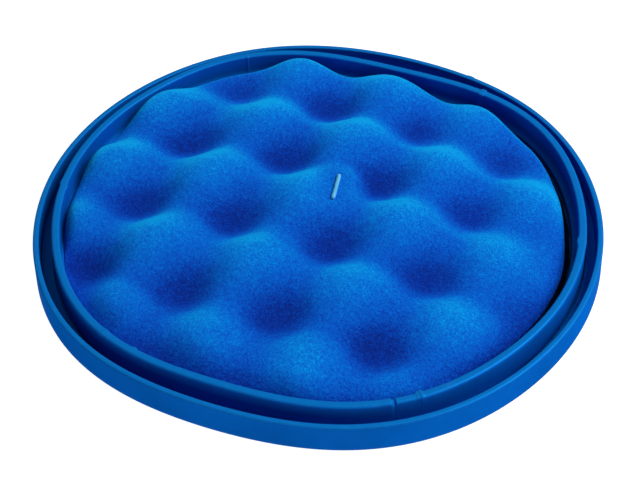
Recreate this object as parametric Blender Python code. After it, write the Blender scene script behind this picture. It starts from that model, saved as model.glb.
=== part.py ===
"""Washable sponge filter: a convoluted foam pad in a two-ring plastic frame.

Metres, +Z up; dimensions below are in millimetres.  Origin: centre of the outline
on the resting plane (the lower edge of the outer wall).  +Y is the outline's axis
of symmetry, +X its long direction.  The frame is a rounded-square ring, so every
outline is a mean radius plus a few cosine lobes about the +Y axis.
"""

import bpy
import bmesh
from math import asin, atan2, cos, exp, hypot, pi, radians, sin
from mathutils import Matrix, Vector

MM = 0.001

# ---------------------------------------------------------------- dimensions
# Offsets are radial: positive is outward from the named outline.
CLEAR = 0.30                 # running gap between separate pieces
SEGMENTS = 96                # points round the frame's outlines
MEDIA_SEGMENTS = 72          # points round the felt and the foam
POLE_Y = -0.36               # puts the outline's bounding box centre on the origin

# Outer wall: the line of its inner face.  Lobes are {order: amplitude}.
OUTER_MEAN = 72.50
OUTER_LOBES = {2: -1.42, 3: 0.26, 4: -0.76, 5: 0.10, 6: -0.26}
OUTER_WALL = 1.66            # wall thickness
OUTER_HEIGHT = 7.93          # wall height above the resting plane
OUTER_CHAMFER = 0.35         # outer top edge
OUTER_CHAMFER_IN = 0.6 * OUTER_CHAMFER
FLOOR_TOP = 2.00             # floor of the groove between the rings
FLOOR_OVERLAP = 0.25         # how far the floor plate runs into the wall's foot
LEDGE_TOP = 1.00             # ledge the inner basket stands on
LEDGE_REACH = 5.50           # how far the ledge reaches in from the inner ring
LEDGE_OVERLAP = 0.45         # how far the ledge runs into the floor

# Face seal in a channel under the outer wall
CHANNEL_IN, CHANNEL_OUT, CHANNEL_DEPTH = -1.20, 0.90, 1.00
CHANNEL_LIP = 0.55           # width of the lip inside the channel
SEAL_IN, SEAL_OUT = CHANNEL_IN + CLEAR, CHANNEL_OUT - CLEAR
SEAL_HEIGHT = CHANNEL_DEPTH - CLEAR

# Inner ring: the line of its outer face
INNER_MEAN = 69.19
INNER_LOBES = {2: -2.04, 3: -0.32, 4: -1.33, 5: -0.17, 6: -0.59}
INNER_WALL = 2.18
INNER_BOTTOM = LEDGE_TOP + CLEAR
INNER_TOP = 9.88
INNER_CHAMFER = 0.45         # both top edges
FOOT_DEPTH = 3.40            # radial width of the foot
FOOT_TOP = 3.60
FOOT_SLOPE = 0.60            # rise from the foot's inner edge to the wall
SHOULDER = 0.35              # side gap between the inner ring and the floor
NOTCH = (0.8, 0.8, 2.4)      # rim notch cutter

# Six snap keys tie the grille to the inner ring and index it in the frame
KEYS = 6
KEY_ANGLE = 8.6              # degrees from +X to the first key
KEY_HALF = 3.50              # half width of a key
KEY_MARGIN = 0.40            # outline points this near a key's side are left out
KEY_RECESS = -0.60           # end of the ledge's recess, from the inner ring's outline
PEG_HALF, PEG_DEPTH, PEG_TOP = 2.0, 1.2, 2.70
PEG_IN = 1.70                # peg centre, in from the inner ring's outer face
PEG_ROOT = 0.50              # how deep a peg is sunk into its key
POCKET_OVERCUT = 1.00        # how far a pocket cutter passes the ring's underside

# Support grille
GRILLE_TOP = 1.00
GRILLE_EDGE = -LEDGE_REACH - CLEAR
GRILLE_RIM = 2.4             # width of the outermost band
RIB = 1.8
EYE_RING, MIDDLE_RING, WIDE_RING = 16.0, 31.0, 46.0   # rib centre radii
EYE_SEGMENTS = 48

# Filter media
MEDIA_GAP = 0.40             # gap between the media's edge and the foot
FELT_BOTTOM, FELT_TOP = GRILLE_TOP + CLEAR, 1.90
FOAM_BOTTOM = FELT_TOP + CLEAR
FOAM_EDGE_MID = 7.40         # mid height between pits and crests, at the edge
FOAM_DOME, FOAM_REACH = 5.20, 64.0   # rise in the middle, radius where it ends
FOAM_RELIEF = 9.60           # pit to crest
FOAM_PITCH = 26.7
FOAM_TURN = -4.4             # degrees, lattice against the frame
FOAM_PIT = (7.9, -13.9)      # one pit of the lattice
FOAM_SOFT = 2.5              # crests broader than pits
FOAM_THIN = 1.20             # the least the foam may measure under a pit
FOAM_EDGE_GAP = 2.60         # foam side to the inner ring's inner face, at the top
FOAM_INSET = FOAM_EDGE_GAP + INNER_WALL - FOOT_DEPTH - MEDIA_GAP
FOAM_SKIRT = 0.90            # upright part of the side
FOAM_EDGE_LEAST = 1.00       # least height of the rolled edge over the bottom
# Rolled edge, going up and in: (offset from the media outline, drop below the surface)
FOAM_ROLL = (
    (-FOAM_INSET * 0.6, 2.6),
    (-FOAM_INSET - 1.0, 0.9),
    (-FOAM_INSET - 2.6, 0.2),
)
FOAM_RINGS = 20              # radial steps from the rolled edge to the middle

# Nylon tag pin that ties the foam to the felt
PIN_AT = (2.75, 6.2)
PIN_TURN = radians(100.4)    # direction of the bar
PIN_BAR = 9.6                # bar length
PIN_BAR_R = 0.56
PIN_SEAT = 14.00             # height the pin pulls the foam to
PIN_BAR_Z = PIN_SEAT + 0.25
PIN_PULL = 9.0               # how far round the bar the pull is felt
PIN_WIRE_R = 0.30
PIN_HOLE_R = 0.65
PIN_HOLE_OVERCUT = 1.0       # hole cutters pass the faces they cut by this
FOAM_HOLE_TOP = PIN_SEAT + 3.0
PADDLE = (8.0, 1.5, 0.55)
PADDLE_Z = 0.70
DENT = (PIN_BAR + 1.2, 2 * PIN_BAR_R + 0.9, 6.0)   # cutter for the bar's dent

# Piece: (base colour, roughness)
MATERIALS = {
    "outer_frame": ((0.004, 0.105, 0.42), 0.38),
    "face_seal": ((0.02, 0.022, 0.026), 0.8),
    "inner_ring": ((0.004, 0.12, 0.47), 0.36),
    "support_grille": ((0.004, 0.10, 0.40), 0.42),
    "felt_backing": ((0.004, 0.008, 0.022), 0.95),
    "foam_pad": ((0.002, 0.16, 0.72), 0.95),
    "tag_pin": ((0.25, 0.62, 0.85), 0.35),
}


# ------------------------------------------------------------------ outlines
def radius(angle, mean, lobes, offset):
    from_y = angle - pi / 2
    return mean + offset + sum(a * cos(k * from_y) for k, a in lobes.items())


def outer_r(angle, offset=0.0):
    return radius(angle, OUTER_MEAN, OUTER_LOBES, offset)


def inner_r(angle, offset=0.0):
    return radius(angle, INNER_MEAN, INNER_LOBES, offset)


def media_r(angle, offset=0.0):
    return inner_r(angle, -FOOT_DEPTH - MEDIA_GAP + offset)


def turned(along, across, angle):
    """The x, y of a point given along and across a direction from the origin."""
    return along * cos(angle) - across * sin(angle), along * sin(angle) + across * cos(angle)


def along_across(x, y, origin, angle):
    """The reverse of turned, measured from another origin."""
    dx, dy = x - origin[0], y - origin[1]
    return dx * cos(angle) + dy * sin(angle), dy * cos(angle) - dx * sin(angle)


def polar(r, angle):
    return r * cos(angle), r * sin(angle)


def ring_points(radius_at, offset=0.0, count=SEGMENTS):
    angles = [2 * pi * i / count for i in range(count)]
    return [polar(radius_at(angle, offset), angle) for angle in angles]


def key_angles():
    return [radians(KEY_ANGLE + 360.0 / KEYS * k) for k in range(KEYS)]


def keyed_points(base_offset, key_offset, half):
    """Inner-ring outline at base_offset, stepping out to key_offset at each key."""
    keys = key_angles()
    found = []                # (sorting angle, point)
    for i in range(SEGMENTS):
        angle = 2 * pi * i / SEGMENTS
        r = inner_r(angle, base_offset)
        if all(
            abs(r * sin(angle - key)) > half + KEY_MARGIN or cos(angle - key) < 0
            for key in keys
        ):
            found.append((angle, polar(r, angle)))
    for key in keys:
        r_in, r_out = inner_r(key, base_offset), inner_r(key, key_offset)
        corners = ((r_in, -half), (r_out, -half), (r_out, half), (r_in, half))
        for step, (along, across) in enumerate(corners):
            # a small spread keeps the four corners in order when sorted
            order = (key + (step - 1.5) / 1000.0) % (2 * pi)
            found.append((order, turned(along, across, key)))
    found.sort(key=lambda entry: entry[0])
    return [point for _, point in found]


# ------------------------------------------------------------------- helpers
def clear_scene():
    for ob in list(bpy.data.objects):
        bpy.data.objects.remove(ob, do_unlink=True)


def collection(name):
    coll = bpy.data.collections.get(name) or bpy.data.collections.new(name)
    if name not in bpy.context.scene.collection.children:
        bpy.context.scene.collection.children.link(coll)
    return coll


def move_to(ob, coll):
    for old in list(ob.users_collection):
        old.objects.unlink(ob)
    coll.objects.link(ob)


def work_object(name, data):
    ob = bpy.data.objects.new(name, data)
    WORK.objects.link(ob)
    return ob


def mesh_object(name, bm, matrix=Matrix.Identity(4)):
    """A work object from a bmesh, which is freed."""
    mesh = bpy.data.meshes.new(name)
    bm.to_mesh(mesh)
    bm.free()
    mesh.transform(matrix)
    return work_object(name, mesh)


def add_loop(curve, points):
    spline = curve.splines.new("POLY")
    spline.points.add(len(points) - 1)
    for point, (x, y) in zip(spline.points, points):
        point.co = (x * MM, y * MM, 0.0, 1.0)
    spline.use_cyclic_u = True


def flat_curve(name, loops, extrude=0.0):
    curve = bpy.data.curves.new(name, "CURVE")
    curve.dimensions = "2D"
    curve.fill_mode = "BOTH"
    curve.extrude = extrude * MM
    for points in loops:
        add_loop(curve, points)
    return work_object(name, curve)


def evaluated_mesh(ob):
    bpy.context.view_layer.update()
    depsgraph = bpy.context.evaluated_depsgraph_get()
    return bpy.data.meshes.new_from_object(ob.evaluated_get(depsgraph))


def face_outward(bm):
    bmesh.ops.recalc_face_normals(bm, faces=bm.faces)
    if bm.calc_volume(signed=True) < 0:
        bmesh.ops.reverse_faces(bm, faces=bm.faces)


def to_mesh(ob):
    """Replace a curve object by a welded mesh object."""
    mesh = evaluated_mesh(ob)
    new = work_object(ob.name + "_m", mesh)
    bm = bmesh.new()
    bm.from_mesh(mesh)
    bmesh.ops.remove_doubles(bm, verts=bm.verts, dist=1e-6)
    face_outward(bm)
    bm.to_mesh(mesh)
    bm.free()
    bpy.data.objects.remove(ob, do_unlink=True)
    return new


def plate(name, outline, holes, bottom, top):
    ob = to_mesh(flat_curve(name, [outline, *holes], extrude=(top - bottom) / 2))
    ob.data.transform(Matrix.Translation((0, 0, (bottom + top) / 2 * MM)))
    return ob


def sweep(name, radius_at, profile):
    """A closed profile (offset out from the path, height) swept round a ring."""
    path = bpy.data.curves.new(name, "CURVE")
    path.dimensions = "3D"
    path.fill_mode = "FULL"
    path.twist_mode = "Z_UP"
    add_loop(path, ring_points(radius_at))
    section = flat_curve(name + "_profile", [profile])
    path.bevel_mode = "OBJECT"
    path.bevel_object = section
    ring = to_mesh(work_object(name, path))
    bpy.data.objects.remove(section, do_unlink=True)
    return ring


def box(name, size, centre, turn):
    bm = bmesh.new()
    bmesh.ops.create_cube(bm, size=1.0)
    matrix = (
        Matrix.Translation([c * MM for c in centre])
        @ Matrix.Rotation(turn, 4, "Z")
        @ Matrix.Diagonal([s * MM for s in size] + [1.0])
    )
    return mesh_object(name, bm, matrix)


def peg_box(name, gap, bottom, top, angle):
    """A block at a peg's place, grown by gap on all four sides."""
    size = (PEG_DEPTH + 2 * gap, 2 * (PEG_HALF + gap), top - bottom)
    centre = (*polar(inner_r(angle, -PEG_IN), angle), (top + bottom) / 2)
    return box(name, size, centre, angle)


def cylinder(name, r, start, end, segments):
    start, end = Vector(start) * MM, Vector(end) * MM
    axis = end - start
    bm = bmesh.new()
    bmesh.ops.create_cone(
        bm, cap_ends=True, segments=segments,
        radius1=r * MM, radius2=r * MM, depth=axis.length,
    )
    turn = axis.to_track_quat("Z", "Y").to_matrix().to_4x4()
    return mesh_object(name, bm, Matrix.Translation((start + end) / 2) @ turn)


def pin_hole(name, bottom, top):
    return cylinder(name, PIN_HOLE_R, (*PIN_AT, bottom), (*PIN_AT, top), 12)


def boolean(target, tool, operation):
    """Bake a boolean into the target and put the tool away with the cutters."""
    modifier = target.modifiers.new(operation.lower(), "BOOLEAN")
    modifier.operation = operation
    modifier.solver = "EXACT"
    modifier.object = tool
    mesh = evaluated_mesh(target)
    target.modifiers.clear()
    target.data = mesh
    bm = bmesh.new()
    bm.from_mesh(mesh)
    bmesh.ops.remove_doubles(bm, verts=bm.verts, dist=1e-7)
    bmesh.ops.dissolve_degenerate(bm, edges=bm.edges, dist=1e-7)
    bm.to_mesh(mesh)
    bm.free()
    tool.hide_render = True
    tool.display_type = "WIRE"
    move_to(tool, CUTTERS)


def piece_material(piece):
    color, roughness = MATERIALS[piece]
    material = bpy.data.materials.new(piece + "_material")
    material.use_nodes = True
    inputs = material.node_tree.nodes["Principled BSDF"].inputs
    inputs["Base Color"].default_value = (*color, 1.0)
    inputs["Roughness"].default_value = roughness
    return material


def finish(ob, name, sharp_angle=30.0):
    """Name, place, colour and shade a finished piece."""
    ob.name = name
    ob.data.name = name
    ob.location = (0.0, POLE_Y * MM, 0.0)
    move_to(ob, PARTS)
    ob.data.materials.clear()
    ob.data.materials.append(piece_material(name))
    ob.data.shade_smooth()
    ob.data.set_sharp_from_angle(angle=radians(sharp_angle))


# -------------------------------------------------------------- outer frame
def build_outer_frame():
    # wall with a channel for the seal below and a short stretch of floor
    lip = CHANNEL_IN - CHANNEL_LIP
    frame = sweep("frame_wall", outer_r, [
        (OUTER_WALL, 0.0),
        (OUTER_WALL, OUTER_HEIGHT - OUTER_CHAMFER),
        (OUTER_WALL - OUTER_CHAMFER, OUTER_HEIGHT),
        (OUTER_CHAMFER_IN, OUTER_HEIGHT),
        (0.0, OUTER_HEIGHT - OUTER_CHAMFER_IN),
        (0.0, FLOOR_TOP),
        (lip, FLOOR_TOP),
        (lip, 0.0),
        (CHANNEL_IN, 0.0),
        (CHANNEL_IN, CHANNEL_DEPTH),
        (CHANNEL_OUT, CHANNEL_DEPTH),
        (CHANNEL_OUT, 0.0),
    ])
    # floor of the groove, from the wall's lip in to the inner ring's shoulder
    floor = plate(
        "frame_floor",
        ring_points(outer_r, lip + FLOOR_OVERLAP),
        [ring_points(inner_r, SHOULDER)],
        0.0, FLOOR_TOP,
    )
    # ledge under the basket, with a recess for each of the six keys
    ledge = plate(
        "frame_ledge",
        ring_points(inner_r, SHOULDER + LEDGE_OVERLAP),
        [keyed_points(-LEDGE_REACH, KEY_RECESS, KEY_HALF + CLEAR)],
        0.0, LEDGE_TOP,
    )
    boolean(frame, floor, "UNION")
    boolean(frame, ledge, "UNION")
    finish(frame, "outer_frame")


def build_seal():
    seal = sweep("seal", outer_r, [
        (SEAL_OUT, 0.0), (SEAL_OUT, SEAL_HEIGHT), (SEAL_IN, SEAL_HEIGHT), (SEAL_IN, 0.0),
    ])
    finish(seal, "face_seal")


# --------------------------------------------------------------- inner ring
def build_inner_ring():
    ring = sweep("inner", inner_r, [
        (0.0, INNER_BOTTOM),
        (0.0, INNER_TOP - INNER_CHAMFER),
        (-INNER_CHAMFER, INNER_TOP),
        (-INNER_WALL + INNER_CHAMFER, INNER_TOP),
        (-INNER_WALL, INNER_TOP - INNER_CHAMFER),
        (-INNER_WALL, FOOT_TOP + FOOT_SLOPE),
        (-FOOT_DEPTH, FOOT_TOP),
        (-FOOT_DEPTH, INNER_BOTTOM),
    ])
    for i, angle in enumerate(key_angles()):
        pocket = peg_box(
            f"peg_pocket_{i}", CLEAR, INNER_BOTTOM - POCKET_OVERCUT, PEG_TOP + CLEAR, angle
        )
        boolean(ring, pocket, "DIFFERENCE")
        # parting notch in the rim's outer edge, on the clockwise side of each key
        notch_at = turned(inner_r(angle), -KEY_HALF, angle)
        notch = box(f"rim_notch_{i}", NOTCH, (*notch_at, INNER_TOP), angle + pi / 4)
        boolean(ring, notch, "DIFFERENCE")
    finish(ring, "inner_ring")


# ------------------------------------------------------------------- grille
def arc(radius_at, start, end, steps):
    angles = [start + (end - start) * i / steps for i in range(steps + 1)]
    return [polar(radius_at(angle), angle) for angle in angles]


def window(r_near, far_r, spoke, next_spoke):
    """A sector opening between a circle, an outer line and two parallel-sided spokes."""
    def beside(r):
        # angle from a spoke's centre line to its side, at radius r
        return asin(RIB / 2 / r)

    near_start, near_end = spoke + beside(r_near), next_spoke - beside(r_near)
    far_start = spoke + beside(far_r(spoke))
    far_end = next_spoke - beside(far_r(next_spoke))
    near_steps = max(3, int((next_spoke - spoke) / radians(7)))
    far_steps = max(3, int((far_end - far_start) / radians(5)))
    return (
        arc(lambda angle: r_near, near_end, near_start, near_steps)
        + arc(far_r, far_start, far_end, far_steps)
    )


def grille_openings():
    def rim(angle):
        return inner_r(angle, GRILLE_EDGE - GRILLE_RIM)

    half = RIB / 2
    step = 2 * pi / KEYS
    # the lower bar of the tag pin sits in the open eye
    openings = [ring_points(lambda angle, offset: EYE_RING + offset, -half, EYE_SEGMENTS)]
    for k in range(KEYS):
        spoke = radians(KEY_ANGLE) + k * step
        openings.append(
            window(EYE_RING + half, lambda angle: MIDDLE_RING - half, spoke, spoke + step)
        )
        # outside the middle ring there are twice as many spokes
        for start in (spoke, spoke + step / 2):
            end = start + step / 2
            openings.append(
                window(MIDDLE_RING + half, lambda angle: WIDE_RING - half, start, end)
            )
            openings.append(window(WIDE_RING + half, rim, start, end))
    return openings


def build_grille():
    outline = keyed_points(GRILLE_EDGE, KEY_RECESS - CLEAR, KEY_HALF)
    grille = plate("grille", outline, grille_openings(), 0.0, GRILLE_TOP)
    for i, angle in enumerate(key_angles()):
        peg = peg_box(f"peg_{i}", 0.0, GRILLE_TOP - PEG_ROOT, PEG_TOP, angle)
        boolean(grille, peg, "UNION")
    finish(grille, "support_grille")


# -------------------------------------------------------------------- media
def build_felt():
    outline = ring_points(media_r, count=MEDIA_SEGMENTS)
    felt = plate("felt", outline, [], FELT_BOTTOM, FELT_TOP)
    hole = pin_hole("felt_hole", FELT_BOTTOM - PIN_HOLE_OVERCUT, FELT_TOP + PIN_HOLE_OVERCUT)
    boolean(felt, hole, "DIFFERENCE")
    finish(felt, "felt_backing")


def foam_height(x, y):
    # egg-crate wave: 0 in a pit to 1 on a crest, then softened to -1 to 1
    u, v = along_across(x, y, FOAM_PIT, radians(FOAM_TURN))
    wave = (1 - (cos(2 * pi * u / FOAM_PITCH) + cos(2 * pi * v / FOAM_PITCH)) / 2) / 2
    relief = 2 * (1 - exp(-wave / FOAM_SOFT)) / (1 - exp(-1 / FOAM_SOFT)) - 1
    middle = FOAM_EDGE_MID + FOAM_DOME * (1 - (x * x + y * y) / FOAM_REACH ** 2)
    z = middle + FOAM_RELIEF * relief / 2
    # the pin's pull, strongest under its bar
    along, across = along_across(x, y, PIN_AT, PIN_TURN)
    distance = hypot(max(abs(along) - PIN_BAR / 2, 0.0), across)
    pull = max(0.0, 1 - distance / PIN_PULL)
    pull = pull * pull * (3 - 2 * pull)
    return max(z + pull * (PIN_SEAT - z), FOAM_BOTTOM + FOAM_THIN)


def foam_body():
    """A disc of rings and spokes whose upper side follows the egg-crate lattice."""
    bm = bmesh.new()
    bmesh.ops.create_circle(bm, cap_ends=False, segments=MEDIA_SEGMENTS, radius=1.0)

    def put(loop, offset, share, height_at):
        for vert in loop:
            angle = atan2(vert.co.y, vert.co.x)
            x, y = polar((media_r(angle) + offset) * share, angle)
            vert.co = (x * MM, y * MM, height_at(x, y) * MM)

    def edges_of(loop):
        return [e for e in bm.edges if e.verts[0] in loop and e.verts[1] in loop]

    def extruded(loop):
        geom = bmesh.ops.extrude_edge_only(bm, edges=edges_of(loop))["geom"]
        return {g for g in geom if isinstance(g, bmesh.types.BMVert)}

    # the outline, extruded up the side, over the rolled edge and in to the middle
    lower = set(bm.verts)
    put(lower, 0.0, 1.0, lambda x, y: FOAM_BOTTOM)
    loop = extruded(lower)
    put(loop, 0.0, 1.0, lambda x, y: FOAM_BOTTOM + FOAM_SKIRT)
    for offset, drop in FOAM_ROLL:
        loop = extruded(loop)
        put(
            loop, offset, 1.0,
            lambda x, y: max(FOAM_BOTTOM + FOAM_EDGE_LEAST, foam_height(x, y) - drop),
        )
    for i in range(1, FOAM_RINGS):
        loop = extruded(loop)
        put(loop, FOAM_ROLL[-1][0], 1 - i / FOAM_RINGS, foam_height)
    # close the middle and the underside
    for rim in (loop, lower):
        bmesh.ops.contextual_create(bm, geom=edges_of(rim))
    bmesh.ops.triangulate(bm, faces=bm.faces)
    face_outward(bm)
    return mesh_object("foam", bm)


def build_foam():
    foam = foam_body()
    # hole for the pin's thread and the dent its bar is pulled into
    hole = pin_hole("foam_hole", FOAM_BOTTOM - PIN_HOLE_OVERCUT, FOAM_HOLE_TOP)
    boolean(foam, hole, "DIFFERENCE")
    dent_z = PIN_BAR_Z - PIN_BAR_R - CLEAR + DENT[2] / 2
    dent = box("foam_dent", DENT, (*PIN_AT, dent_z), PIN_TURN)
    boolean(foam, dent, "DIFFERENCE")
    finish(foam, "foam_pad", sharp_angle=80.0)


# ---------------------------------------------------------------------- pin
def build_pin():
    x, y = PIN_AT
    dx, dy = polar(PIN_BAR / 2, PIN_TURN)
    bar = cylinder(
        "pin_bar", PIN_BAR_R, (x - dx, y - dy, PIN_BAR_Z), (x + dx, y + dy, PIN_BAR_Z), 12
    )
    thread = cylinder("pin_thread", PIN_WIRE_R, (x, y, PADDLE_Z), (x, y, PIN_BAR_Z), 10)
    paddle = box("pin_paddle", PADDLE, (x, y, PADDLE_Z), PIN_TURN)
    boolean(bar, thread, "UNION")
    boolean(bar, paddle, "UNION")
    finish(bar, "tag_pin")


clear_scene()
PARTS = collection("sponge_filter")
CUTTERS = collection("cutters")
WORK = collection("work")

build_outer_frame()
build_seal()
build_inner_ring()
build_grille()
build_felt()
build_foam()
build_pin()
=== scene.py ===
"""Washable sponge filter: two nested blue plastic rings round a flocked egg-crate foam pad.

It lies flat on the floor in the XY plane, facing +Z. The rings' outlines are drawn in polar form
about a pole at (0, POLE_Y). Sizes are in mm in the part's frame, and MM turns them to metres.
The camera stands on the -Y side, turned VIEW_TURN degrees anticlockwise about Z. "Near" and "far"
are as it sees them.
"""
import bpy
import bmesh
import numpy as np
from math import pi, radians, sin, cos, atan2
from mathutils import Matrix, Vector, noise


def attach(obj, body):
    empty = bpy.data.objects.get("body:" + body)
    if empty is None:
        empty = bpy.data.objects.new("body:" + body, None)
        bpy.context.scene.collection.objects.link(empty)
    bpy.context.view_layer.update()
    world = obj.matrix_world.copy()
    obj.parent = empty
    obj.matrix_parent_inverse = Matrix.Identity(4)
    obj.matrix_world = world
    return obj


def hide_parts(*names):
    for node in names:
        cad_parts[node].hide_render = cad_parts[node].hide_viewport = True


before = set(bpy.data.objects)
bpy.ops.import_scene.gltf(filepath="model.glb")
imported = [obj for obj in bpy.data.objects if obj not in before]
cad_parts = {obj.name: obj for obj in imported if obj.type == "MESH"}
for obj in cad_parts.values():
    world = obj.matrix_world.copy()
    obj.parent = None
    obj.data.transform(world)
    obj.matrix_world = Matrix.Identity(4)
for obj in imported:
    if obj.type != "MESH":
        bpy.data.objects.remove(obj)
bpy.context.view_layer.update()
MM = 0.001

# ------------------------------------------------------------------ driving dimensions
POLE_Y = -0.36
VIEW_TURN = 22.117

# outlines: mean radius, then {lobes per turn: amplitude}, counted from +Y
OUTER = (72.50, {2: -1.42, 3: 0.26, 4: -0.76, 5: 0.10, 6: -0.26})
INNER = (69.19, {2: -2.04, 3: -0.32, 4: -1.33, 5: -0.17, 6: -0.59})

# outer frame
OUTER_WALL, OUTER_HEIGHT = 1.66, 7.93
FLOOR_TOP, LEDGE_TOP = 2.0, 1.0
LEDGE_REACH = 5.5
SHOULDER = 0.35            # step from floor to ledge, outside the inner outline
CLEAR = 0.30               # gap between fitted parts
GROOVE_IN, GROOVE_OUT, GROOVE_TOP = -1.20, 0.90, 1.0
SEAL_IN, SEAL_OUT, SEAL_HEIGHT, SEAL_ROUND = -0.90, 0.60, 0.70, 0.16

# recesses in the ledge's inner edge
KEYS = 6
KEY_HALF = 3.5
KEY_RADIUS = 64.0
KEY_ANGLES = [radians(8.6 + 360 / KEYS * k) for k in range(KEYS)]

# inner ring
INNER_WALL, INNER_TOP = 2.18, 9.88
FOOT_DEPTH, FOOT_TOP = 3.40, 3.60
RIM_RADIUS = 68.0          # the rim marks' lengths are measured at this radius

FELT_BOTTOM, FELT_TOP = 1.30, 1.90

# nylon tag pin
PIN_X, PIN_Y = 2.75, 5.82
PIN_TURN = radians(100.4)
PIN_BAR, PIN_BAR_R = 9.6, 0.56
PIN_SEAT = 14.0            # height the foam is drawn to
PIN_PULL = 9.0             # how far round the bar the foam is drawn
PIN_BAR_Z = PIN_SEAT + 0.25
PADDLE_Z = 0.72

# foam pad: a turned square grid of pits on a surface that bulges in the middle
FOAM_EDGE_MID, FOAM_DOME, FOAM_REACH = 7.4, 5.2, 64.0
FOAM_RELIEF = 9.6          # pit to crest
FOAM_CALM = 0.28           # share of the relief lost at the near edge
FOAM_PITCH, FOAM_TURN = 26.7, radians(-4.4)
FOAM_PIT_X, FOAM_PIT_Y = 7.93, -14.23      # place of pit (0, 0)
FOAM_SOFT = 2.5            # the larger, the less the crests are flattened
FOAM_BOTTOM = 2.2
FOAM_ROLL = 4.5            # width of the rolled edge

# {(column, row): shift in x, y} of each pit from its grid place; rows run towards -Y
PIT_SHIFT = {
    (0, 0): (0.7, 1.2), (1, 0): (0.5, 2.2), (-1, 0): (-1.2, 1.2), (-2, 0): (-0.2, -3.0),
    (0, -1): (1.5, 2.4), (1, -1): (1.8, 2.9), (-1, -1): (1.5, 1.3), (-2, -1): (-1.4, -0.9),
    (0, -2): (2.4, 0.0), (-1, -2): (2.3, 0.8), (-2, -2): (4.2, -3.6), (0, 1): (-2.2, 1.8),
    (1, 1): (-1.5, 4.0), (-1, 1): (-0.9, -0.9), (-2, 1): (-4.6, -2.6), (-3, -2): (-2.0, -9.3),
    (-2, -3): (-2.4, -3.4), (-1, -3): (-2.4, -2.2), (0, -3): (2.9, -1.3), (1, -2): (0.2, -2.2),
    (1, -3): (1.9, 0.1), (2, -1): (0.1, -0.5), (-3, -1): (-0.9, -8.5), (-3, 0): (-3.8, -4.9),
}
# {(column, row): extra depth} of pits
PIT_DEEP = {
    (-2, 1): 1.6, (2, -1): -5.0, (2, 0): -2.5, (0, -2): -1.5, (1, -1): -1.1,
    (-2, -2): -1.8, (1, 1): 0.4, (0, 1): 0.2, (1, -2): -1.8,
}
# {(column, row): extra height} of the crest half a pitch on from that pit in both directions
CREST_HIGH = {
    (-3, -2): 0.7, (-3, -1): 0.9, (-2, -3): 0.3, (-1, -3): 0.4, (0, -3): -0.9,
    (1, -2): -0.1, (-3, -3): 0.3, (-3, 1): -1.6, (-3, 0): -0.4,
}


def from_view(angle):
    """Part-frame angle, in radians, of one counted in degrees from the camera's right."""
    return radians(angle + VIEW_TURN)


# moulding marks
OUTER_STEP = from_view(52.1)
GATES = [from_view(-150.7), from_view(-128.2)]
NOTCH, NUB = from_view(-75.7), from_view(-70.2)
FAR, FAR_RIGHT, NEAR_LEFT = from_view(106.4), from_view(45.7), from_view(-133.5)
RIGHT, LEFT = from_view(-11.0), from_view(170.2)

# inner rim marks: angle, half length, run-out, then what each adds to the outer edge's offset,
# the inner edge's offset and the height
RIM_MARKS = [
    (NOTCH, 0.20, 0.42, 0, 0, -0.45),
    (NOTCH - 1.15, 0.5, 0.9, 0.10, -0.12, 0.14),
    (NUB, 0.66, 0.40, 0.04, -0.55, 0.10),
    (FAR_RIGHT, 0.55, 0.45, 0.42, -0.30, 0.10),
    (FAR, 0.16, 0.30, 0, -0.20, 0.04),
    (NEAR_LEFT, 0.35, 0.5, 0, -0.34, 0),
    (RIGHT, 0.30, 1.6, 0.12, -0.34, 0),
    (LEFT, 0.30, 0.8, 0, -0.22, 0),
    (LEFT - 0.03, 0.5, 0.8, 0.20, 0, 0),
]


# ------------------------------------------------------------------ outlines and profiles
def lobed(theta, outline):
    """Radius of an outline and its slope against the angle."""
    mean, lobes = outline
    phi = theta - pi / 2
    radius = np.full_like(theta, mean)
    slope = np.zeros_like(theta)
    for k, amplitude in lobes.items():
        radius = radius + amplitude * np.cos(k * phi)
        slope = slope - amplitude * k * np.sin(k * phi)
    return radius, slope


def offset_points(theta, outline, offset):
    """XY points at an outward offset (one number, or one per angle) from an outline."""
    radius, slope = lobed(theta, outline)
    c, s = np.cos(theta), np.sin(theta)
    points = np.stack([radius * c, radius * s], 1)
    along = np.stack([slope * c - radius * s, slope * s + radius * c], 1)
    along /= np.linalg.norm(along, axis=1)[:, None]
    normal = np.stack([along[:, 1], -along[:, 0]], 1)
    offset = np.broadcast_to(np.asarray(offset, float), theta.shape)
    points = points + normal * offset[:, None]
    points[:, 1] += POLE_Y
    return points


def even_angles(count):
    return np.arange(count) * 2 * pi / count


def angles(count, dense=(), half=1.2, step=0.15, radius=70.0):
    """Even angles, with extra ones every `step` mm within `half` mm of each dense angle."""
    theta = list(even_angles(count))
    reach = int(half / step)
    for a in dense:
        theta += [(a + i * step / radius) % (2 * pi) for i in range(-reach, reach + 1)]
    theta = np.array(sorted(theta))
    return theta[np.concatenate([[True], np.diff(theta) > 0.02 / radius])]


def arc_from(theta, angle, radius):
    """Signed length in mm along the arc from an angle."""
    return ((theta - angle + pi) % (2 * pi) - pi) * radius


def swell(theta, angle, half, edge, radius):
    """1 within half mm of an angle, falling to 0 over edge mm."""
    return np.clip((half + edge - np.abs(arc_from(theta, angle, radius))) / edge, 0, 1)


def step_up(theta, angle, edge, radius):
    """0 before an angle and 1 after it, over edge mm."""
    return np.clip(arc_from(theta, angle, radius) / edge + 0.5, 0, 1)


def smoothstep(x):
    return x * x * (3 - 2 * x)


def arc(centre, z, radius, start, end, steps):
    """Profile points (offset, z) on an arc, in degrees from outward towards +z."""
    turns = [radians(start + (end - start) * i / steps) for i in range(steps + 1)]
    return [(centre + radius * cos(a), z + radius * sin(a)) for a in turns]


# ------------------------------------------------------------------ meshes
def add_object(name, data):
    ob = bpy.data.objects.new(name, data)
    bpy.context.scene.collection.objects.link(ob)
    return ob


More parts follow.
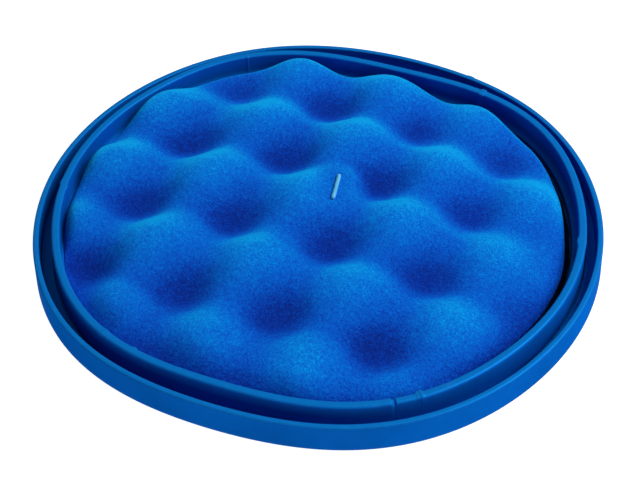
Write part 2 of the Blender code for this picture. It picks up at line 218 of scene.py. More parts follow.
def shade(mesh, sharp_angle):
    mesh.shade_smooth()
    if sharp_angle is not None:
        mesh.set_sharp_from_angle(angle=radians(sharp_angle))


def new_object(name, verts, faces, sharp_angle):
    mesh = bpy.data.meshes.new(name)
    mesh.from_pydata([tuple(v) for v in verts], [], [tuple(f) for f in faces])
    mesh.validate()
    bm = bmesh.new()
    bm.from_mesh(mesh)
    bmesh.ops.recalc_face_normals(bm, faces=bm.faces)
    if bm.calc_volume(signed=True) < 0:
        bmesh.ops.reverse_faces(bm, faces=bm.faces)
    bm.to_mesh(mesh)
    bm.free()
    shade(mesh, sharp_angle)
    return add_object(name, mesh)


def ring_mesh(name, theta, stations):
    """Ring whose section is a closed loop of stations (outline, offset, z)."""
    n, m = len(theta), len(stations)
    verts = np.zeros((n, m, 3))
    for j, (outline, offset, z) in enumerate(stations):
        verts[:, j, :2] = offset_points(theta, outline, offset)
        verts[:, j, 2] = z
    i = np.arange(n)[:, None]
    j = np.arange(m)[None, :]
    i_next, j_next = (i + 1) % n, (j + 1) % m
    faces = np.stack([i * m + j, i_next * m + j, i_next * m + j_next, i * m + j_next], -1)
    return new_object(name, verts.reshape(-1, 3) * MM, faces.reshape(-1, 4), sharp_angle=40)


def band_faces(rows, seg):
    """Quads joining each closed row of seg points to the next."""
    return [(i * seg + j, i * seg + (j + 1) % seg, (i + 1) * seg + (j + 1) % seg, (i + 1) * seg + j)
            for i in range(rows - 1) for j in range(seg)]


def polar_row(theta, radius, z):
    """One closed row of points round the pole."""
    return np.stack([radius * np.cos(theta), radius * np.sin(theta) + POLE_Y,
                     np.broadcast_to(z, theta.shape)], 1)


def disc_mesh(name, rows, top_z, bottom_z, sharp_angle):
    """Solid disc from rows running out over the top and back underneath, closed at the pole."""
    count, seg = rows.shape[:2]
    centres = [[0, POLE_Y, top_z], [0, POLE_Y, bottom_z]]
    verts = np.concatenate([rows.reshape(-1, 3), centres]) * MM
    faces = band_faces(count, seg)
    top = count * seg
    last = top - seg
    for k in range(seg):
        faces.append((top, k, (k + 1) % seg))
        faces.append((top + 1, last + (k + 1) % seg, last + k))
    return new_object(name, verts, faces, sharp_angle)


def rod(points, radius, seg, cap=7):
    """Round-ended rod through the points, as vertices in mm and faces."""
    points = [Vector(p) for p in points]
    last = len(points) - 1
    tangents = [(points[min(k + 1, last)] - points[max(k - 1, 0)]).normalized()
                for k in range(last + 1)]
    up = Vector((0, 0, 1)) if abs(tangents[0].z) < 0.9 else Vector((1, 0, 0))

    rings = []                 # centre, tangent, radius
    for k in range(cap):
        a = pi / 2 * (k + 0.35) / cap
        rings.append((points[0] - tangents[0] * radius * cos(a), tangents[0], radius * sin(a)))
    rings += [(p, tangent, radius) for p, tangent in zip(points, tangents)]
    for k in range(cap):
        a = pi / 2 * (cap - k - 0.65) / cap
        rings.append((points[-1] + tangents[-1] * radius * cos(a), tangents[-1], radius * sin(a)))

    verts = []
    for centre, tangent, size in rings:
        x = tangent.cross(up).normalized()
        y = x.cross(tangent).normalized()
        for q in range(seg):
            a = 2 * pi * q / seg
            verts.append(centre + (x * cos(a) + y * sin(a)) * size)
    faces = band_faces(len(rings), seg)
    faces.append(tuple(range(seg))[::-1])
    faces.append(tuple((len(rings) - 1) * seg + j for j in range(seg)))
    return verts, faces


# ------------------------------------------------------------------ materials
class Shader:
    """A material and its node tree. Texture helpers return output sockets."""

    def __init__(self, name):
        self.material = bpy.data.materials.new(name)
        self.material.use_nodes = True
        self.tree = self.material.node_tree
        self.coords = self.add("TexCoord").outputs["Object"]

    def fill(self, node, inputs):
        """Link each input that is given a socket, and set the others."""
        for key, value in inputs.items():
            if isinstance(value, bpy.types.NodeSocket):
                self.tree.links.new(value, node.inputs[key])
            else:
                node.inputs[key].default_value = value

    def add(self, kind, inputs=None, **settings):
        node = self.tree.nodes.new("ShaderNode" + kind)
        for key, value in settings.items():
            setattr(node, key, value)
        self.fill(node, inputs or {})
        return node

    def noise(self, scale, detail, roughness=0.5):
        inputs = {"Vector": self.coords, "Scale": scale, "Detail": detail, "Roughness": roughness}
        return self.add("TexNoise", inputs).outputs["Fac"]

    def math(self, operation, *values):
        return self.add("Math", dict(enumerate(values)), operation=operation).outputs[0]

    def mix(self, blend, factor, a, b):
        inputs = {"Factor": factor, "A": a, "B": b}
        return self.add("Mix", inputs, data_type="RGBA", blend_type=blend).outputs["Result"]

    def ramp(self, source, stops):
        """Colour ramp over (position, colour) stops, where a single number is a grey."""
        node = self.add("ValToRGB", {"Fac": source})
        elements = node.color_ramp.elements
        while len(elements) > 1:
            elements.remove(elements[-1])
        for k, (position, colour) in enumerate(stops):
            element = elements.new(position) if k else elements[0]
            element.position = position
            rgb = colour if isinstance(colour, tuple) else (colour,) * 3
            element.color = (*rgb, 1)
        return node.outputs["Color"]

    def bump(self, height, strength, distance, normal=None):
        inputs = {"Height": height, "Strength": strength, "Distance": distance}
        if normal is not None:
            inputs["Normal"] = normal
        return self.add("Bump", inputs).outputs["Normal"]

    def finish(self, inputs):
        """Fill in the Principled surface and return the material."""
        self.fill(self.tree.nodes["Principled BSDF"], inputs)
        return self.material


# the third argument is the paler colour painted on upward faces as painted light from above
def plastic(name, base, painted_top_light, roughness):
    sh = Shader(name)
    slow = sh.noise(scale=45.0, detail=3.0)
    fine = sh.noise(scale=2600.0, detail=4.0, roughness=0.6)
    mottle = sh.noise(scale=420.0, detail=4.0, roughness=0.55)
    colour = sh.ramp(slow, [(0.3, tuple(c * 0.88 for c in base)),
                            (0.7, tuple(c * 1.10 for c in base))])
    # painted light: upward faces are painted paler than the walls, as if lit from above
    normal = sh.add("NewGeometry").outputs["Normal"]
    up = sh.add("SeparateXYZ", {"Vector": normal}).outputs["Z"]
    up = sh.ramp(up, [(0.25, 0), (0.95, 1)])
    colour = sh.mix("MIX", factor=up, a=colour, b=(*painted_top_light, 1))
    colour = sh.mix("OVERLAY", factor=0.10, a=colour, b=mottle)
    # painted highlight: convex rims are painted a little paler, in patches
    rims = sh.ramp(sh.add("NewGeometry").outputs["Pointiness"], [(0.50, 0), (0.56, 1)])
    rim_highlight = sh.math("MULTIPLY", sh.math("MULTIPLY", rims, mottle), 0.35)
    rim_highlight_blue = (base[0] + 0.02, base[1] * 1.7, base[2] * 1.35, 1)
    colour = sh.mix("MIX", factor=rim_highlight, a=colour, b=rim_highlight_blue)
    rough = sh.add("MapRange", {"Value": mottle, "To Min": roughness - 0.05,
                                "To Max": roughness + 0.09})
    grain = sh.bump(fine, strength=0.12, distance=0.00005)
    return sh.finish({
        "Base Color": colour,
        "Roughness": rough.outputs["Result"],
        # reflections take the pigment's blue, even at grazing angles
        "Specular IOR Level": 0.0,
        "Metallic": 0.14,
        "Specular Tint": (0.08, 0.55, 1.0, 1),
        "IOR": 1.48,
        "Normal": sh.bump(slow, strength=0.10, distance=0.0004, normal=grain),
    })


def foam_height_share(sh):
    """Height over the pad's bulging middle surface: 0 in a pit, 1 on a crest.

    It follows foam_middle and foam_relief.
    """
    xyz = sh.add("SeparateXYZ", {"Vector": sh.coords}).outputs
    x, z = xyz["X"], xyz["Z"]
    y = sh.math("SUBTRACT", xyz["Y"], POLE_Y * MM)
    radius2 = sh.math("ADD", sh.math("MULTIPLY", x, x), sh.math("MULTIPLY", y, y))
    reach = FOAM_REACH * MM
    level = sh.math("ADD", z, sh.math("MULTIPLY", radius2, FOAM_DOME * MM / reach ** 2))
    turn = radians(VIEW_TURN)
    toward = sh.math("ADD", sh.math("MULTIPLY", x, sin(turn) / reach),
                     sh.math("MULTIPLY", y, -cos(turn) / reach))
    near = sh.add("MapRange", {"Value": toward}, interpolation_type="SMOOTHSTEP")
    calm = sh.math("MULTIPLY", near.outputs["Result"], FOAM_CALM)
    relief = sh.math("MULTIPLY", sh.math("SUBTRACT", 1.0, calm), FOAM_RELIEF * MM)
    above = sh.math("SUBTRACT", level, (FOAM_EDGE_MID + FOAM_DOME) * MM)
    return sh.math("ADD", sh.math("DIVIDE", above, relief), 0.5)


def foam_material():
    sh = Shader("flocked_foam")
    height = foam_height_share(sh)
    fine = sh.noise(scale=2300.0, detail=3.0, roughness=0.6)
    fibre = sh.noise(scale=1000.0, detail=5.0, roughness=0.7)
    blotch = sh.noise(scale=130.0, detail=3.0, roughness=0.55)
    facing = sh.add("LayerWeight", {"Blend": 0.5}).outputs["Facing"]
    sheen_power, sheen_gain = 2.0, 0.58        # painted sheen: the pile is painted paler at grazing angles
    painted_sheen = sh.math("MULTIPLY", sh.math("POWER", facing, sheen_power), sheen_gain)
    # one tone from pit to crest, painted darker in the pits as painted shade, with blotches and
    # speckle, read off one ramp of blues
    shade_sheen_tone = sh.ramp(height, [(0.0, 0.09), (0.20, 0.20), (0.52, 0.49), (1.0, 0.75)])
    for texture, gain in ((blotch, 0.16), (fine, 1.0), (fibre, 0.6)):
        share = sh.math("MULTIPLY", sh.math("SUBTRACT", texture, 0.5), gain)
        shade_sheen_tone = sh.math("ADD", shade_sheen_tone, share)
    shade_sheen_tone = sh.math("ADD", shade_sheen_tone, painted_sheen)
    # the ramp's dark deep blues are the painted pit shade, and its pale top end carries the painted
    # sheen
    colour = sh.ramp(shade_sheen_tone, [
        (0.0, (0.0035, 0.014, 0.20)),
        (0.25, (0.0028, 0.036, 0.38)),
        (0.55, (0.0026, 0.106, 0.64)),
        (0.8, (0.0022, 0.218, 0.78)),
        (1.0, (0.0036, 0.400, 0.92)),
    ])
    pile = sh.math("ADD", fine, fibre)
    # upright fibres are lit much like a level surface, so the shading normal leans upward
    normal = sh.add("NewGeometry").outputs["Normal"]
    lean = sh.add("Mix", {"Factor": 0.80, "A": normal, "B": (0, 0, 1)}, data_type="VECTOR")
    unit = sh.add("VectorMath", {0: lean.outputs["Result"]}, operation="NORMALIZE")
    return sh.finish({
        "Base Color": colour,
        "Roughness": 0.95,
        "Specular IOR Level": 0.04,
        "Specular Tint": (0.02, 0.4, 1.0, 1),
        "Sheen Weight": 0.35,
        "Sheen Roughness": 0.5,
        "Sheen Tint": (0.05, 0.45, 1.0, 1),
        "Normal": sh.bump(pile, strength=0.55, distance=0.00025, normal=unit.outputs["Vector"]),
    })


def felt_material():
    sh = Shader("needled_felt")
    fibre = sh.noise(scale=900.0, detail=6.0, roughness=0.75)
    blotch = sh.noise(scale=90.0, detail=3.0)
    colour = sh.ramp(fibre, [(0.3, (0.0008, 0.0026, 0.024)), (0.7, (0.0016, 0.0050, 0.040))])
    shadow = sh.ramp(blotch, [(0.3, 0.80), (0.7, 1)])
    return sh.finish({
        "Base Color": sh.mix("MULTIPLY", factor=1.0, a=colour, b=shadow),
        "Roughness": 0.95,
        "Specular IOR Level": 0.1,
        "Sheen Weight": 0.4,
        "Normal": sh.bump(fibre, strength=0.6, distance=0.0003),
    })


def rubber_material():
    sh = Shader("cell_rubber")
    cells = sh.add("TexVoronoi", {"Vector": sh.coords, "Scale": 1500.0}).outputs["Distance"]
    return sh.finish({
        "Base Color": sh.ramp(cells, [(0.0, (0.012, 0.013, 0.015)), (0.6, (0.035, 0.037, 0.04))]),
        "Roughness": 0.85,
        "Normal": sh.bump(cells, strength=0.4, distance=0.0002),
    })


def nylon_material():
    sh = Shader("pale_nylon")
    cloud = sh.noise(scale=700.0, detail=3.0)
    return sh.finish({
        "Base Color": sh.ramp(cloud, [(0.3, (0.11, 0.60, 0.96)), (0.7, (0.18, 0.68, 0.98))]),
        "Roughness": 0.32,
        "Transmission Weight": 0.25,
        "IOR": 1.53,
        "Normal": sh.bump(cloud, strength=0.15, distance=0.0002),
    })


def floor_material():
    sh = Shader("pale_floor")
    cloud = sh.noise(scale=6.0, detail=2.0)
    return sh.finish({
        "Base Color": sh.ramp(cloud, [(0.3, (0.33, 0.335, 0.34)), (0.7, (0.36, 0.36, 0.36))]),
        "Roughness": 0.9,
        "Specular IOR Level": 0.0,
        # it glows, so that it reads as white paper with a faint shadow
        "Emission Color": (1.0, 1.0, 1.0, 1),
        "Emission Strength": 0.97,
    })


FRAME_BLUE = (0.0013, 0.098, 0.43)
RING_BLUE = (0.0014, 0.105, 0.50)
# paler blue painted on upward faces as painted light from above
TOP_LIGHT_BLUE = (0.0035, 0.185, 0.60)
MAT_FRAME = plastic("blue_frame_plastic", base=FRAME_BLUE, painted_top_light=TOP_LIGHT_BLUE, roughness=0.36)
MAT_RING = plastic("blue_ring_plastic", base=RING_BLUE, painted_top_light=TOP_LIGHT_BLUE, roughness=0.34)
MAT_GRILLE = plastic("blue_grille_plastic", base=FRAME_BLUE, painted_top_light=FRAME_BLUE, roughness=0.42)
MAT_FOAM = foam_material()
MAT_FELT = felt_material()
MAT_RUBBER = rubber_material()
MAT_NYLON = nylon_material()


def dress(ob, mat, body, slot_name, *nodes):
    """Give an object its material, and tell the frame what it rides on and replaces."""
    ob.data.materials.clear()
    ob.data.materials.append(mat)
    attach(ob, body)
    if nodes:
        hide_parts(*nodes)


# ------------------------------------------------------------------ outer frame
def build_outer():
    key_half = KEY_HALF + CLEAR
    key_edges = [k + side * key_half / KEY_RADIUS for k in KEY_ANGLES for side in (-1, 1)]
    theta = angles(480, dense=key_edges + [OUTER_STEP] + GATES)
    recess = np.zeros_like(theta)
    for k in KEY_ANGLES:
        recess = np.maximum(recess, swell(theta, k, key_half, 0.15, KEY_RADIUS))
    lip = -LEDGE_REACH + recess * (LEDGE_REACH - 0.60)
    lip_chamfer = np.minimum(lip + 0.15, SHOULDER - 0.2)
    wobble = 0.05 * np.sin(3 * theta + 0.6) + 0.03 * np.sin(7 * theta + 1.1)
    step = 0.16 * swell(theta, OUTER_STEP, 0.9, 0.25, 73.0)

    # wall, from its rounded foot up the outside, over the rim and down to the floor
    wall, top = OUTER_WALL, OUTER_HEIGHT
    section = arc(wall - 0.22, 0.22, 0.22, -90, 0, 3)
    section += [(wall - 0.012 * z, z) for z in (1.2, 2.6, 4.2, 5.8)]
    section += [(x + step * (z - 5) / 3, z + wobble + 0.5 * step)
                for x, z in arc(wall - 0.55 - 0.08, top - 0.55, 0.55, 0, 90, 7)]
    section += [(x, z + wobble) for x, z in arc(0.34, top - 0.34, 0.34, 90, 180, 5)]
    section += [(0.0, z) for z in (6.3, 4.6, 3.2)]
    section += arc(-0.45, FLOOR_TOP + 0.45, 0.45, 0, -90, 4)
    # shoulder and ledge, which follow the inner outline
    ledge = [
        (SHOULDER + 0.15, FLOOR_TOP), (SHOULDER, FLOOR_TOP - 0.15), (SHOULDER, LEDGE_TOP),
        (lip_chamfer, LEDGE_TOP), (lip, LEDGE_TOP - 0.15), (lip, 0.15), (lip_chamfer, 0.0),
    ]
    # groove for the seal in the underside
    groove = [
        (GROOVE_IN - 0.15, 0.0), (GROOVE_IN, 0.12), (GROOVE_IN, GROOVE_TOP),
        (GROOVE_OUT, GROOVE_TOP), (GROOVE_OUT, 0.12), (GROOVE_OUT + 0.12, 0.0),
    ]
    stations = [(OUTER, *p) for p in section]
    stations += [(INNER, *p) for p in ledge]
    stations += [(OUTER, *p) for p in groove]
    ob = ring_mesh("outer_frame_body", theta, stations)
    dress(ob, MAT_FRAME, "frame", "frame_plastic", "outer_frame")


def build_gate_marks():
    """Two tiny beads on the inner side of the outer wall."""
    for n, angle in enumerate(GATES):
        theta = np.array([angle])
        x, y = offset_points(theta, OUTER, -0.02)[0]
        x_in, y_in = offset_points(theta, OUTER, -0.30)[0]
        bm = bmesh.new()
        bmesh.ops.create_uvsphere(bm, u_segments=20, v_segments=12, radius=0.5 * MM)
        mesh = bpy.data.meshes.new("gate_mark")
        bm.to_mesh(mesh)
        bm.free()
        mesh.transform(Matrix.Diagonal((0.7, 1.3, 1.5, 1.0)))
        mesh.transform(Matrix.Rotation(atan2(y_in - y, x_in - x), 4, "Z"))
        mesh.transform(Matrix.Translation((x * MM, y * MM, 6.2 * MM)))
        mesh.shade_smooth()
        dress(add_object(f"gate_mark_{n}", mesh), MAT_FRAME, "frame", "frame_plastic")


# ------------------------------------------------------------------ inner ring
def build_inner():
    theta = angles(480, dense=[NOTCH, NUB, FAR, FAR_RIGHT, NEAR_LEFT, RIGHT, LEFT],
                   half=2.6, step=0.12, radius=RIM_RADIUS)
    base = LEDGE_TOP + CLEAR
    wobble = (0.06 * np.sin(2 * theta + 2.0) + 0.04 * np.sin(5 * theta)
              + 0.02 * np.sin(11 * theta + 0.7))

    outer_edge, inner_edge, rise = (np.zeros_like(theta) for _ in range(3))
    for angle, half, edge, outward, inward, height in RIM_MARKS:
        mark = swell(theta, angle, half, edge, RIM_RADIUS)
        outer_edge += outward * mark
        inner_edge += inward * mark
        rise += height * mark
    # the rim is a little lower and thinner between the notch and the nub
    between = np.clip(step_up(theta, NOTCH, 0.3, RIM_RADIUS)
                      - step_up(theta, NUB, 0.3, RIM_RADIUS), 0, 1)
    between = between * swell(theta, (NOTCH + NUB) / 2, 4.6, 0.5, RIM_RADIUS)
    outer_edge -= 0.17 * between
    inner_edge += 0.05 * between
    rise -= 0.12 * between
    notch_cut = 0.75 * swell(theta, NOTCH, 0.20, 0.42, RIM_RADIUS)

    # outer face, where only a faint line runs down from the notch: z, share of the notch
    section = arc(-0.20, base + 0.20, 0.20, -90, 0, 2)
    for z, share in ((2.6, 0.0), (4.2, 0.02), (5.8, 0.04), (7.0, 0.07), (7.9, 0.14)):
        section.append((outer_edge * ((z - base) / 8.6) ** 3 - share * notch_cut, z))
    # rim
    outer_round, inner_round = 0.62, 0.50
    round_base = INNER_TOP - outer_round
    for x, z in arc(-outer_round, round_base, outer_round, 0, 90, 8):
        share = 0.25 + 0.75 * min(max((z - round_base) / outer_round, 0), 1)
        section.append((x + outer_edge - share * notch_cut, z + wobble + rise))
    for x, z in arc(-INNER_WALL + inner_round, INNER_TOP - inner_round, inner_round, 90, 180, 7):
        section.append((x + inner_edge, z + wobble + rise))
    # inner face and foot
    section += [(-INNER_WALL + inner_edge * 0.8, z) for z in (8.2, 7.0, 5.8, 4.8)]
    section += arc(-FOOT_DEPTH + 0.3, FOOT_TOP - 0.3, 0.3, 90, 180, 3)
    # a thin seat under the felt's edge closes the slot between the foot and the grille
    seat_top, seat_bottom = 1.235, 1.05
    section += [
        (-FOOT_DEPTH, seat_top), (-FOOT_DEPTH - 1.0, seat_top),
        (-FOOT_DEPTH - 1.0, seat_bottom), (-FOOT_DEPTH + 0.5, seat_bottom),
        (-FOOT_DEPTH + 0.6, base),
    ]
    ob = ring_mesh("inner_ring_body", theta, [(INNER, *p) for p in section])
    dress(ob, MAT_RING, "basket", "ring_plastic", "inner_ring")


# ------------------------------------------------------------------ foam pad
def bar_distance(x, y, half_length):
    """Distance from the tag pin's bar, taken as a line of that half length."""
    dx, dy = x - PIN_X, y - PIN_Y
    along = dx * cos(PIN_TURN) + dy * sin(PIN_TURN)
    across = dy * cos(PIN_TURN) - dx * sin(PIN_TURN)
    return np.hypot(np.maximum(np.abs(along) - half_length, 0), across)


def pit_drift(x, y):
    """Smooth displacement of the grid, from the pits' own shifts."""
    c, s = cos(FOAM_TURN), sin(FOAM_TURN)
    sum_x, sum_y = np.zeros_like(x), np.zeros_like(x)
    total = np.full_like(x, 0.08)
    for (i, j), (shift_x, shift_y) in PIT_SHIFT.items():
        pit_x = FOAM_PIT_X + FOAM_PITCH * (i * c + j * s)
        pit_y = FOAM_PIT_Y + FOAM_PITCH * (i * s - j * c)
        distance2 = (x - pit_x - shift_x) ** 2 + (y - pit_y - shift_y) ** 2
        weight = np.exp(-distance2 / (2 * (0.50 * FOAM_PITCH) ** 2))
        sum_x += weight * shift_x
        sum_y += weight * shift_y
        total += weight
    return sum_x / total, sum_y / total


def foam_middle(x, y):
    """Height halfway between pits and crests."""
    radius2 = x * x + (y - POLE_Y) ** 2
    return FOAM_EDGE_MID + FOAM_DOME * (1 - radius2 / FOAM_REACH ** 2)


def foam_relief(x, y):
    """Pit to crest height, a little less towards the camera."""
    turn = radians(VIEW_TURN)
    near = np.clip((x * sin(turn) - (y - POLE_Y) * cos(turn)) / FOAM_REACH, 0, 1)
    return FOAM_RELIEF * (1 - FOAM_CALM * smoothstep(near))


def foam_height(x, y):
    drift_x, drift_y = pit_drift(x, y)
    dx, dy = x - drift_x - FOAM_PIT_X, y - drift_y - FOAM_PIT_Y
    u = (dx * cos(FOAM_TURN) + dy * sin(FOAM_TURN)) / FOAM_PITCH
    v = (dx * sin(FOAM_TURN) - dy * cos(FOAM_TURN)) / FOAM_PITCH
    wave = (1 - (np.cos(2 * pi * u) + np.cos(2 * pi * v)) / 2) / 2
    wave = 2 * (1 - np.exp(-wave / FOAM_SOFT)) / (1 - np.exp(-1 / FOAM_SOFT)) - 1
    z = foam_middle(x, y) + foam_relief(x, y) * 0.5 * wave
    for (i, j), depth in PIT_DEEP.items():
        z = z - depth * np.exp(-(((u - i) ** 2 + (v - j) ** 2) / (2 * 0.22 ** 2)))
    for (i, j), height in CREST_HIGH.items():
        z = z + height * np.exp(-(((u - i - 0.5) ** 2 + (v - j - 0.5) ** 2) / (2 * 0.26 ** 2)))
    # the tag pin draws the pad to its bar
    pull = smoothstep(np.clip(1 - bar_distance(x, y, PIN_BAR / 2) / PIN_PULL, 0, 1))
    return z + pull * (PIN_SEAT - z)


def foam_edge(theta):
    """Radius of the pad where it bulges out over the ring's foot."""
    radius, _ = lobed(theta, INNER)
    view = theta - radians(VIEW_TURN)
    gap = 1.97 + 1.41 * np.cos(view) + 0.52 * np.sin(view)
    return (radius - INNER_WALL - gap + 0.32 * np.sin(5 * theta + 0.4)
            + 0.20 * np.sin(9 * theta + 2.1) + 0.10 * np.sin(17 * theta))


def fractal(x, y, z, octaves):
    exponent, lacunarity = 0.9, 2.1
    return np.array([noise.fractal(p, exponent, lacunarity, octaves) for p in zip(x, y, z)])


def roughen_foam(rows, field_rows, roll_rows):
    """Add unevenness and lumps to the top, and press the pin's bar into it."""
    top_rows = field_rows + roll_rows
    seg = rows.shape[1]
    x, y, z = (rows[:top_rows, :, k].ravel() for k in range(3))
    slow = fractal(x / 14.0 + 3.1, y / 14.0, np.full_like(z, 1.7), octaves=2)
    lump = fractal(x / 2.6, y / 2.6 + 7.7, z / 2.6, octaves=3)
    fade = np.repeat(np.concatenate([np.ones(field_rows), np.linspace(1, 0, roll_rows)]), seg)
    z = z + (0.28 * slow + 0.07 * lump) * fade
    distance = bar_distance(x, y, PIN_BAR / 2 - 0.3)
    ceiling = PIN_BAR_Z - 0.38 + 0.30 * np.maximum(distance - 0.50, 0) ** 1.3
    z = np.where(distance < 3.0, np.minimum(z, ceiling), z)
    rows[:top_rows, :, 2] = z.reshape(top_rows, seg)


def keep_inside_ring(rows, theta):
    """Where the pad presses on the ring, make it follow the wall and foot just clear of them."""
    ring_radius, _ = lobed(theta, INNER)
    depth = np.interp(rows[:, :, 2], [FOOT_TOP, FOOT_TOP + 0.12, 4.8],
                      [FOOT_DEPTH, FOOT_DEPTH - 0.30, INNER_WALL])
    radius = np.hypot(rows[:, :, 0], rows[:, :, 1] - POLE_Y)
    shrink = np.minimum(1.0, (ring_radius - depth - 0.12) / radius)
    rows[:, :, 0] *= shrink
    rows[:, :, 1] = POLE_Y + (rows[:, :, 1] - POLE_Y) * shrink


def build_foam():
    theta = even_angles(640)
    field_rows, roll_rows = 104, 16
    edge = foam_edge(theta)
    foot = edge - 0.35

    def height_at(radius):
        return foam_height(radius * np.cos(theta), radius * np.sin(theta) + POLE_Y)

    # the edge sags more at the near left, and a little at the near right
    slack = ((0.5 + 0.5 * np.cos(theta - from_view(-138))) ** 10
             + 0.40 * (0.5 + 0.5 * np.cos(theta - radians(VIEW_TURN - 38))) ** 8)
    # the second sag is below, at the far right
    slack = ((0.5 + 0.5 * np.cos(theta - from_view(-138))) ** 10
             + 0.40 * (0.5 + 0.5 * np.cos(theta - from_view(-38))) ** 8)
    roll = FOAM_ROLL + 8.0 * slack
    rows = []
    for k in range(1, field_rows + 1):
        radius = (edge - roll) * (k / field_rows) ** 0.85
        rows.append(polar_row(theta, radius, height_at(radius)))
    # rolled edge, level with the field at first and upright at last
    edge_z = 4.4
    for k in range(1, roll_rows + 1):
        a = radians(90 * k / roll_rows)
        fall = 1 - np.cos(a) ** (0.9 + 2.2 * slack)
        field = height_at(edge - roll + roll * sin(a) * 0.75)
        rows.append(polar_row(theta, edge - roll + roll * sin(a),
                              field - (field - edge_z) * fall ** 1.15))
    # under the bulge it tucks in behind the ring's foot
    for k in (0.35, 0.7, 1.0):
        radius = edge + (foot - edge) * (1 - cos(radians(90 * k)))
        rows.append(polar_row(theta, radius, edge_z - 1.0 * k))
    for radius, z in ((foot, 2.9), (foot, FOAM_BOTTOM + 0.25), (foot - 0.25, FOAM_BOTTOM)):
        rows.append(polar_row(theta, radius, z))
    rows = np.array(rows)
    roughen_foam(rows, field_rows, roll_rows)
    keep_inside_ring(rows, theta)
    under = [polar_row(theta, (foot - 0.25) * q, FOAM_BOTTOM) for q in (0.8, 0.55, 0.3, 0.1)]
    top_z = foam_height(np.zeros(1), np.full(1, POLE_Y))[0]
    ob = disc_mesh("foam_pad_flocked", np.concatenate([rows, under]), top_z, FOAM_BOTTOM, None)
    dress(ob, MAT_FOAM, "media", "foam", "foam_pad")


# ------------------------------------------------------------------ felt, seal, grille, pin
def build_felt():
    theta = even_angles(360)
    radius = lobed(theta, INNER)[0] - FOOT_DEPTH - 0.40
    fuzz = (0.10 * np.sin(37 * theta) + 0.07 * np.sin(71 * theta + 1)
            + 0.05 * np.sin(133 * theta))
    shares = (0.05, 0.2, 0.35, 0.5, 0.65, 0.8, 0.92)
    profile = [(radius * q, FELT_TOP) for q in shares]
    profile += [
        (radius - 0.25 + 0.4 * fuzz, FELT_TOP - 0.03),
        (radius - 0.05 + fuzz, FELT_TOP - 0.16),
        (radius - 0.02 + fuzz, (FELT_TOP + FELT_BOTTOM) / 2),
        (radius - 0.05 + fuzz, FELT_BOTTOM + 0.16),
        (radius - 0.25 + 0.4 * fuzz, FELT_BOTTOM + 0.03),
    ]
    profile += [(radius * q, FELT_BOTTOM) for q in reversed(shares)]
    rows = np.array([polar_row(theta, r, z) for r, z in profile])
    ob = disc_mesh("felt_sheet", rows, FELT_TOP, FELT_BOTTOM, sharp_angle=50)
    dress(ob, MAT_FELT, "media", "felt", "felt_backing")


def build_seal():
    inside, outside = SEAL_IN + SEAL_ROUND, SEAL_OUT - SEAL_ROUND
    low, high = SEAL_ROUND, SEAL_HEIGHT - SEAL_ROUND
    section = []
    for x, z, start in ((outside, low, -90), (outside, high, 0),
                        (inside, high, 90), (inside, low, 180)):
        section += arc(x, z, SEAL_ROUND, start, start + 90, 3)
    ob = ring_mesh("seal_cord", angles(360), [(OUTER, *p) for p in section])
    dress(ob, MAT_RUBBER, "frame", "seal_rubber", "face_seal")


def finish_grille():
    """The grille's CAD body keeps its shape; it takes a plastic finish and softened edges."""
    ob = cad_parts["support_grille"]
    ob.data.materials.clear()
    ob.data.materials.append(MAT_GRILLE)
    bevel = ob.modifiers.new("edge", "BEVEL")
    bevel.width = 0.12 * MM
    bevel.segments = 2
    bevel.limit_method = "ANGLE"
    bevel.angle_limit = radians(50)


def unite(main, tool):
    """Merge the tool into the main object and remove it."""
    union = main.modifiers.new("union", "BOOLEAN")
    union.operation = "UNION"
    union.solver = "EXACT"
    union.object = tool
    bpy.context.view_layer.update()
    depsgraph = bpy.context.evaluated_depsgraph_get()
    mesh = bpy.data.meshes.new_from_object(main.evaluated_get(depsgraph))
    main.modifiers.clear()
    main.data = mesh
    bpy.data.objects.remove(tool, do_unlink=True)


def build_pin():
    """Bar lying in the foam, thread down through the pad, flat paddle underneath."""
    x, y = PIN_X, PIN_Y
    along = Vector((cos(PIN_TURN), sin(PIN_TURN), 0))
    side = Vector((-sin(PIN_TURN), cos(PIN_TURN), 0))
    centre = Vector((x, y, PIN_BAR_Z))
    # the bar bows down slightly in the middle
    bar = rod([centre + along * (PIN_BAR / 2 - PIN_BAR_R) * k - Vector((0, 0, 0.10 * (1 - k * k)))
               for k in np.linspace(-1, 1, 15)], radius=PIN_BAR_R, seg=24)
    thread = rod([(x, y, z) for z in (PIN_BAR_Z - 0.1, 6, 3, 0.75)], radius=0.30, seg=14, cap=3)
    # the paddle is a rod flattened in z and widened sideways
    foot = Vector((x, y, PADDLE_Z))
    verts, faces = rod([foot + along * k * 3.4 for k in np.linspace(-1, 1, 9)],
                       radius=0.40, seg=16)
    verts = [Vector((v.x, v.y, PADDLE_Z + (v.z - PADDLE_Z) * 0.65)) for v in verts]
    paddle = [v + side * (v - foot).dot(side) * 0.6 for v in verts], faces

    main, *tools = [
        new_object("pin_" + name, [v * MM for v in verts], faces, sharp_angle=60)
        for name, (verts, faces) in (("bar", bar), ("thread", thread), ("paddle", paddle))
    ]
    for tool in tools:
        unite(main, tool)
    shade(main.data, 60)
    main.name = "tag_pin_body"
    dress(main, MAT_NYLON, "media", "nylon", "tag_pin")


# ------------------------------------------------------------------ floor, light, camera
LIGHT_DISTANCE = 1.6
LIGHT_AIM = Vector((0, 0, 0.004))
# name, azimuth (0 on the camera's side, + to its right) and elevation in degrees,
# width and height in metres, power in watts
LIGHTS = [
    ("key", 96, 51, 1.05, 0.9, 25.92),
    ("side", 66, 24, 1.05, 0.7, 3.16),
    ("fill", -18, 14, 1.05, 0.55, 2.91),
    ("top", 215, 62, 1.4, 1.4, 1.90),
]
WORLD_STRENGTH = 0.045

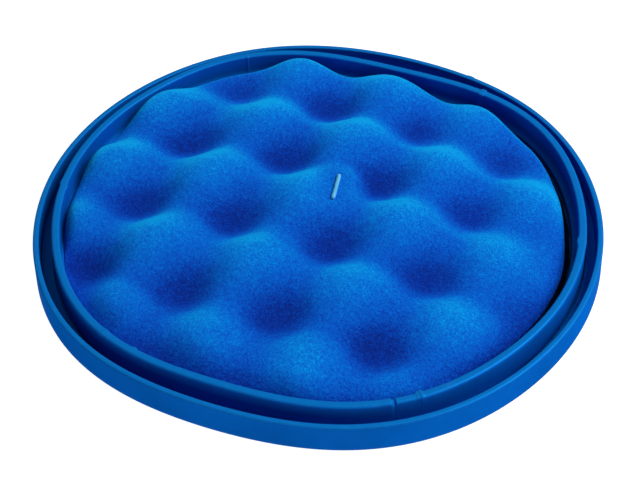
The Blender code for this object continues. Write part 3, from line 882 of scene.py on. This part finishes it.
CAMERA_ELEVATION, CAMERA_ROLL = 0.768122, -0.020410        # radians
CAMERA_DISTANCE = 502.865
CAMERA_AIM = Vector((0.3153, -2.8299, 0))      # from the pole, before the view turn
CAMERA_LENS, SENSOR_WIDTH = 106.453125, 36.0


def build_floor():
    bm = bmesh.new()
    bmesh.ops.create_grid(bm, x_segments=40, y_segments=40, size=3.0)
    mesh = bpy.data.meshes.new("floor")
    bm.to_mesh(mesh)
    bm.free()
    ob = add_object("floor", mesh)
    ob.location = (0, 0, -0.0003)
    ob.data.materials.append(floor_material())


def build_light():
    world = bpy.data.worlds.new("studio")
    bpy.context.scene.world = world
    world.use_nodes = True
    background = world.node_tree.nodes["Background"]
    background.inputs["Color"].default_value = (1.0, 1.0, 1.0, 1)
    background.inputs["Strength"].default_value = WORLD_STRENGTH
    for name, azimuth, elevation, width, height, power in LIGHTS:
        turn, lift = from_view(azimuth), radians(elevation)
        back = Vector((sin(turn) * cos(lift), -cos(turn) * cos(lift), sin(lift)))
        light = bpy.data.lights.new(name, "AREA")
        light.shape = "RECTANGLE"
        light.size, light.size_y = width, height
        light.energy = power
        ob = add_object(name, light)
        ob.location = LIGHT_AIM + back * LIGHT_DISTANCE
        ob.rotation_mode = "QUATERNION"
        ob.rotation_quaternion = (-back).to_track_quat("-Z", "Y")


def build_camera():
    right = Vector((1, 0, 0))
    up = Vector((0, sin(CAMERA_ELEVATION), cos(CAMERA_ELEVATION)))
    forward = Vector((0, cos(CAMERA_ELEVATION), -sin(CAMERA_ELEVATION)))
    c, s = cos(CAMERA_ROLL), sin(CAMERA_ROLL)
    place = (CAMERA_AIM - forward * CAMERA_DISTANCE) * MM
    axes = Matrix((right * c + up * s, -right * s + up * c, -forward)).transposed()
    pose = Matrix.Translation(place) @ axes.to_4x4()
    camera = bpy.data.cameras.new("camera")
    camera.sensor_fit = "HORIZONTAL"
    camera.sensor_width = SENSOR_WIDTH
    camera.lens = CAMERA_LENS
    camera.clip_start, camera.clip_end = 0.01, 20.0
    ob = add_object("camera", camera)
    turn = Matrix.Rotation(radians(VIEW_TURN), 4, "Z")
    ob.matrix_world = Matrix.Translation((0, POLE_Y * MM, 0)) @ turn @ pose
    bpy.context.scene.camera = ob


build_outer()
build_gate_marks()
build_inner()
build_foam()
build_felt()
build_seal()
finish_grille()
build_pin()
build_floor()
build_light()
build_camera()

view = bpy.context.scene.view_settings
view.view_transform = "Standard"
view.look = "None"
view.exposure = 0.0
view.gamma = 1.0
